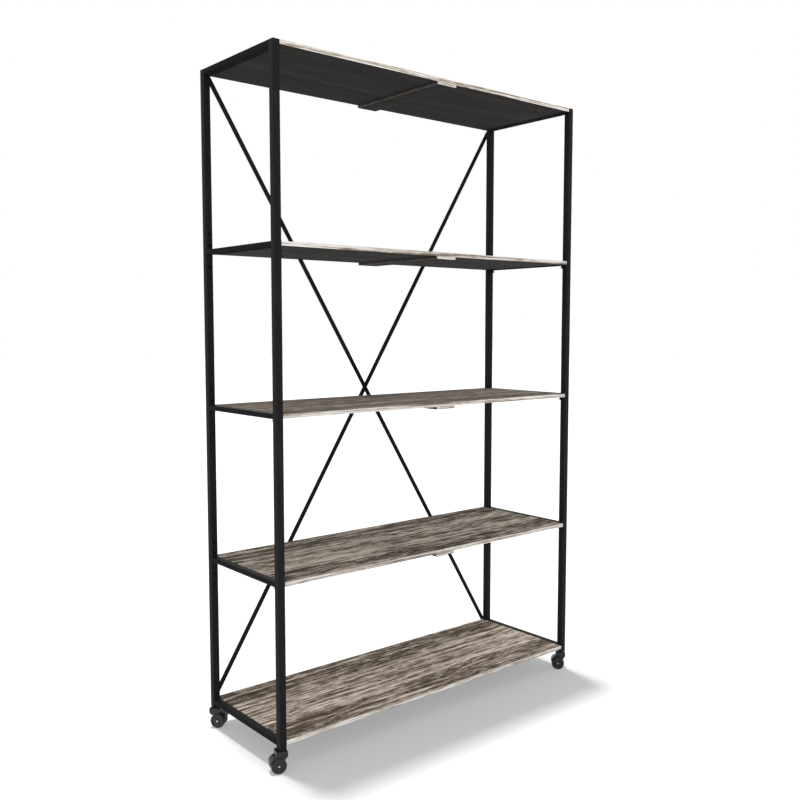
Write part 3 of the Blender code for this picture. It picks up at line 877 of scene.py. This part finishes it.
def build_hood(base):
    """The swivelling hood: rounded cover over both wheels, web, and a cap bored for the stem."""
    node = base + "_caster_hood"
    place, trail, axle_z = caster_frame(base)
    low, high = local_span(node, place)
    width = high[1] - low[1]
    arc = [math.radians(20.0 + 55.0 * i / 20) for i in range(21)]
    outline = [(trail + HOOD_RADIUS * math.cos(a), axle_z + HOOD_RADIUS * math.sin(a)) for a in arc]
    ease = CAP_EASE
    quarter = [math.radians(90.0 * i / 5) for i in range(6)]
    outline.append(CAP_END)
    outline += [(CAP_END[0] - ease * (1 - math.cos(a)), high[2] - ease * (1 - math.sin(a))) for a in quarter]
    outline += [(low[0] + ease * (1 - math.sin(a)), high[2] - ease * (1 - math.cos(a))) for a in quarter]
    outline += [(low[0], CAP_FOOT), *HOOD_FRONT]
    bm = bmesh.new()
    lower = [bm.verts.new((x, -width / 2, z)) for x, z in outline]
    upper = [bm.verts.new((x, width / 2, z)) for x, z in outline]
    rims = [bm.faces.new(lower), bm.faces.new(list(reversed(upper)))]
    for i in range(len(outline)):
        j = (i + 1) % len(outline)
        bm.faces.new((lower[j], lower[i], upper[i], upper[j]))
    bmesh.ops.recalc_face_normals(bm, faces=bm.faces[:])
    rim_edges = list({edge for face in rims for edge in face.edges})
    bmesh.ops.bevel(bm, geom=rim_edges, offset=HOOD_EASE, segments=3, profile=0.5, affect="EDGES")
    bmesh.ops.transform(bm, matrix=place, verts=bm.verts[:])
    hood = piece_from(bm, node + "_shell", base + "_caster", node, (HOOD_NYLON,))
    tools = bmesh.new()
    for side in (-1.0, 1.0):
        cylinder(tools, place @ Vector((trail, side * HOOD_WEB / 2, axle_z)),
                 place @ Vector((trail, side * (width / 2 + 0.004), axle_z)), WELL_RADIUS, WELL_SIDES)
    boolean(hood, tools)
    bores = bmesh.new()
    cylinder(bores, place @ Vector((0.0, 0.0, high[2] - HOOD_STEM_DEPTH)),
             place @ Vector((0.0, 0.0, high[2] + 0.002)), HOOD_STEM_BORE, HOOD_BORE_SIDES)
    cylinder(bores, place @ Vector((trail, -0.006, axle_z)), place @ Vector((trail, 0.006, axle_z)),
             AXLE_BORE, HOOD_BORE_SIDES)
    boolean(hood, bores)
    smooth(hood)


def build_axle(base):
    """The axle: a plain steel pin with chamfered ends."""
    node = base + "_caster_axle"
    place, trail, axle_z = caster_frame(base)
    reach, r = local_span(node, place)[1][1], AXLE_RADIUS
    ease = AXLE_EASE
    bm = bmesh.new()
    profile = ((0.0, -reach), (r - ease, -reach), (r, -reach + ease), (r, reach - ease), (r - ease, reach),
               (0.0, reach))
    centre = place @ Vector((trail, 0.0, axle_z))
    lathe(bm, profile, AXLE_SIDES, along(centre, place @ Vector((trail, 1.0, axle_z))))
    smooth(piece_from(bm, node + "_steel", base + "_caster", node, (ZINC,)))


def build_wheel(base, label):
    """A nylon wheel: crowned tread with two fine grooves, a dished face and a raised hub."""
    node = "%s_%s_wheel" % (base, label)
    place, trail, axle_z = caster_frame(base)
    low, high = local_span(node, place)
    side = math.copysign(1.0, low[1] + high[1])
    near, far = sorted((abs(low[1]), abs(high[1])))
    w, r, bore = far - near, axle_z, AXLE_BORE
    drop, run = TREAD_EASE
    shoulder = [(r - drop + drop * math.cos(a), w - run + run * math.sin(a))
                for a in (math.radians(90.0 * i / 6) for i in range(7))]
    profile = [(bore, 0.0004), (bore + 0.0004, 0.0), (0.0085, 0.0), (0.0092, 0.0008), (r - 0.0060, 0.0008),
               (r - 0.0052, 0.0), (r - 0.0008, 0.0), (r, 0.0008)]
    for start in GROOVE_STARTS:
        profile += [(r, start), (r - 0.0005, start + 0.0002)]
        profile += [(r - 0.0005, start + 0.0005), (r, start + 0.0007)]
    profile += shoulder
    profile += [(r - 0.0052, w), (r - 0.0064, w - 0.0009), (r - 0.0072, w - 0.0022), (r - 0.0098, w - 0.0026)]
    profile += [(0.0092, w - 0.0024), (0.0078, w - 0.0019), (0.0070, w - 0.0006), (0.0060, w)]
    profile += [(bore + 0.0006, w), (bore, w - 0.0005)]
    bm = bmesh.new()
    start = place @ Vector((trail, side * near, axle_z))
    lathe(bm, profile, WHEEL_STEPS, along(start, place @ Vector((trail, side * (near + 1.0), axle_z))))
    wheel = piece_from(bm, node + "_nylon", node, node, (WHEEL_NYLON,))
    smooth(wheel, 26.0)


# Stage ------------------------------------------------------------------------------------

def build_stage():
    """A wide pale floor, an even white surround, a soft key light for the floor and the camera."""
    bm = bmesh.new()
    bmesh.ops.create_grid(bm, x_segments=8, y_segments=8, size=FLOOR_REACH)
    mesh = bpy.data.meshes.new("floor")
    bm.to_mesh(mesh)
    bm.free()
    floor = bpy.data.objects.new("floor", mesh)
    bpy.context.scene.collection.objects.link(floor)
    nodes = Nodes("floor_paper")
    cloud = nodes.noise(nodes.place(), scale=0.8, detail=2.0)
    mesh.materials.append(nodes.finish(nodes.ramp(cloud, ((0.3, 0.25), (0.7, 0.26))), 0.9,
                                       Specular_IOR_Level=0.0, Emission_Color=(1.0, 1.0, 1.0, 1.0),
                                       Emission_Strength=FLOOR_GLOW))

    world = bpy.data.worlds.new("studio")
    world.use_nodes = True
    world.node_tree.nodes["Background"].inputs["Color"].default_value = (1.0, 1.0, 1.0, 1.0)
    world.node_tree.nodes["Background"].inputs["Strength"].default_value = 1.0
    bpy.context.scene.world = world

    key = bpy.data.lights.new("key", "SUN")
    key.energy = KEY_ENERGY
    key.angle = math.radians(KEY_ANGLE)
    key_object = bpy.data.objects.new("key", key)
    key_object.rotation_euler = Vector(KEY_DIRECTION).to_track_quat("-Z", "Y").to_euler()
    bpy.context.scene.collection.objects.link(key_object)
    lit = bpy.data.collections.new("lit_by_key")
    lit.objects.link(floor)
    key_object.light_linking.receiver_collection = lit

    camera = bpy.data.cameras.new("camera")
    camera.lens = CAMERA_LENS
    camera.sensor_width = CAMERA_SENSOR
    camera.clip_end = CAMERA_FAR
    camera_object = bpy.data.objects.new("camera", camera)
    camera_object.location = CAMERA_PLACE
    camera_object.rotation_euler = (math.radians(90.0 - CAMERA_PITCH), 0.0, -math.radians(CAMERA_YAW))
    bpy.context.scene.collection.objects.link(camera_object)
    bpy.context.scene.camera = camera_object
    bpy.context.scene.view_settings.view_transform = "Standard"


def build_all():
    """Build every visible piece."""
    for number in SHELVES:
        build_board(number)
        if number in BATTEN_SHELVES:
            build_batten(number)
        for side_name in SIDES:
            build_rail(number, side_name)
    for end_name in ENDS:
        for side_name in SIDES:
            build_post(end_name, side_name)
            for number in LIFTING_SHELVES:
                build_pin(number, end_name, side_name)
    build_rod("falling", "rising", -1.0)
    build_rod("rising", "falling", 1.0)
    for end_name in ENDS:
        for side_name in SIDES:
            base = "%s_%s" % (end_name, side_name)
            build_stem(base)
            build_hood(base)
            build_axle(base)
            for label in ("inner", "outer"):
                build_wheel(base, label)


build_stage()
build_all()
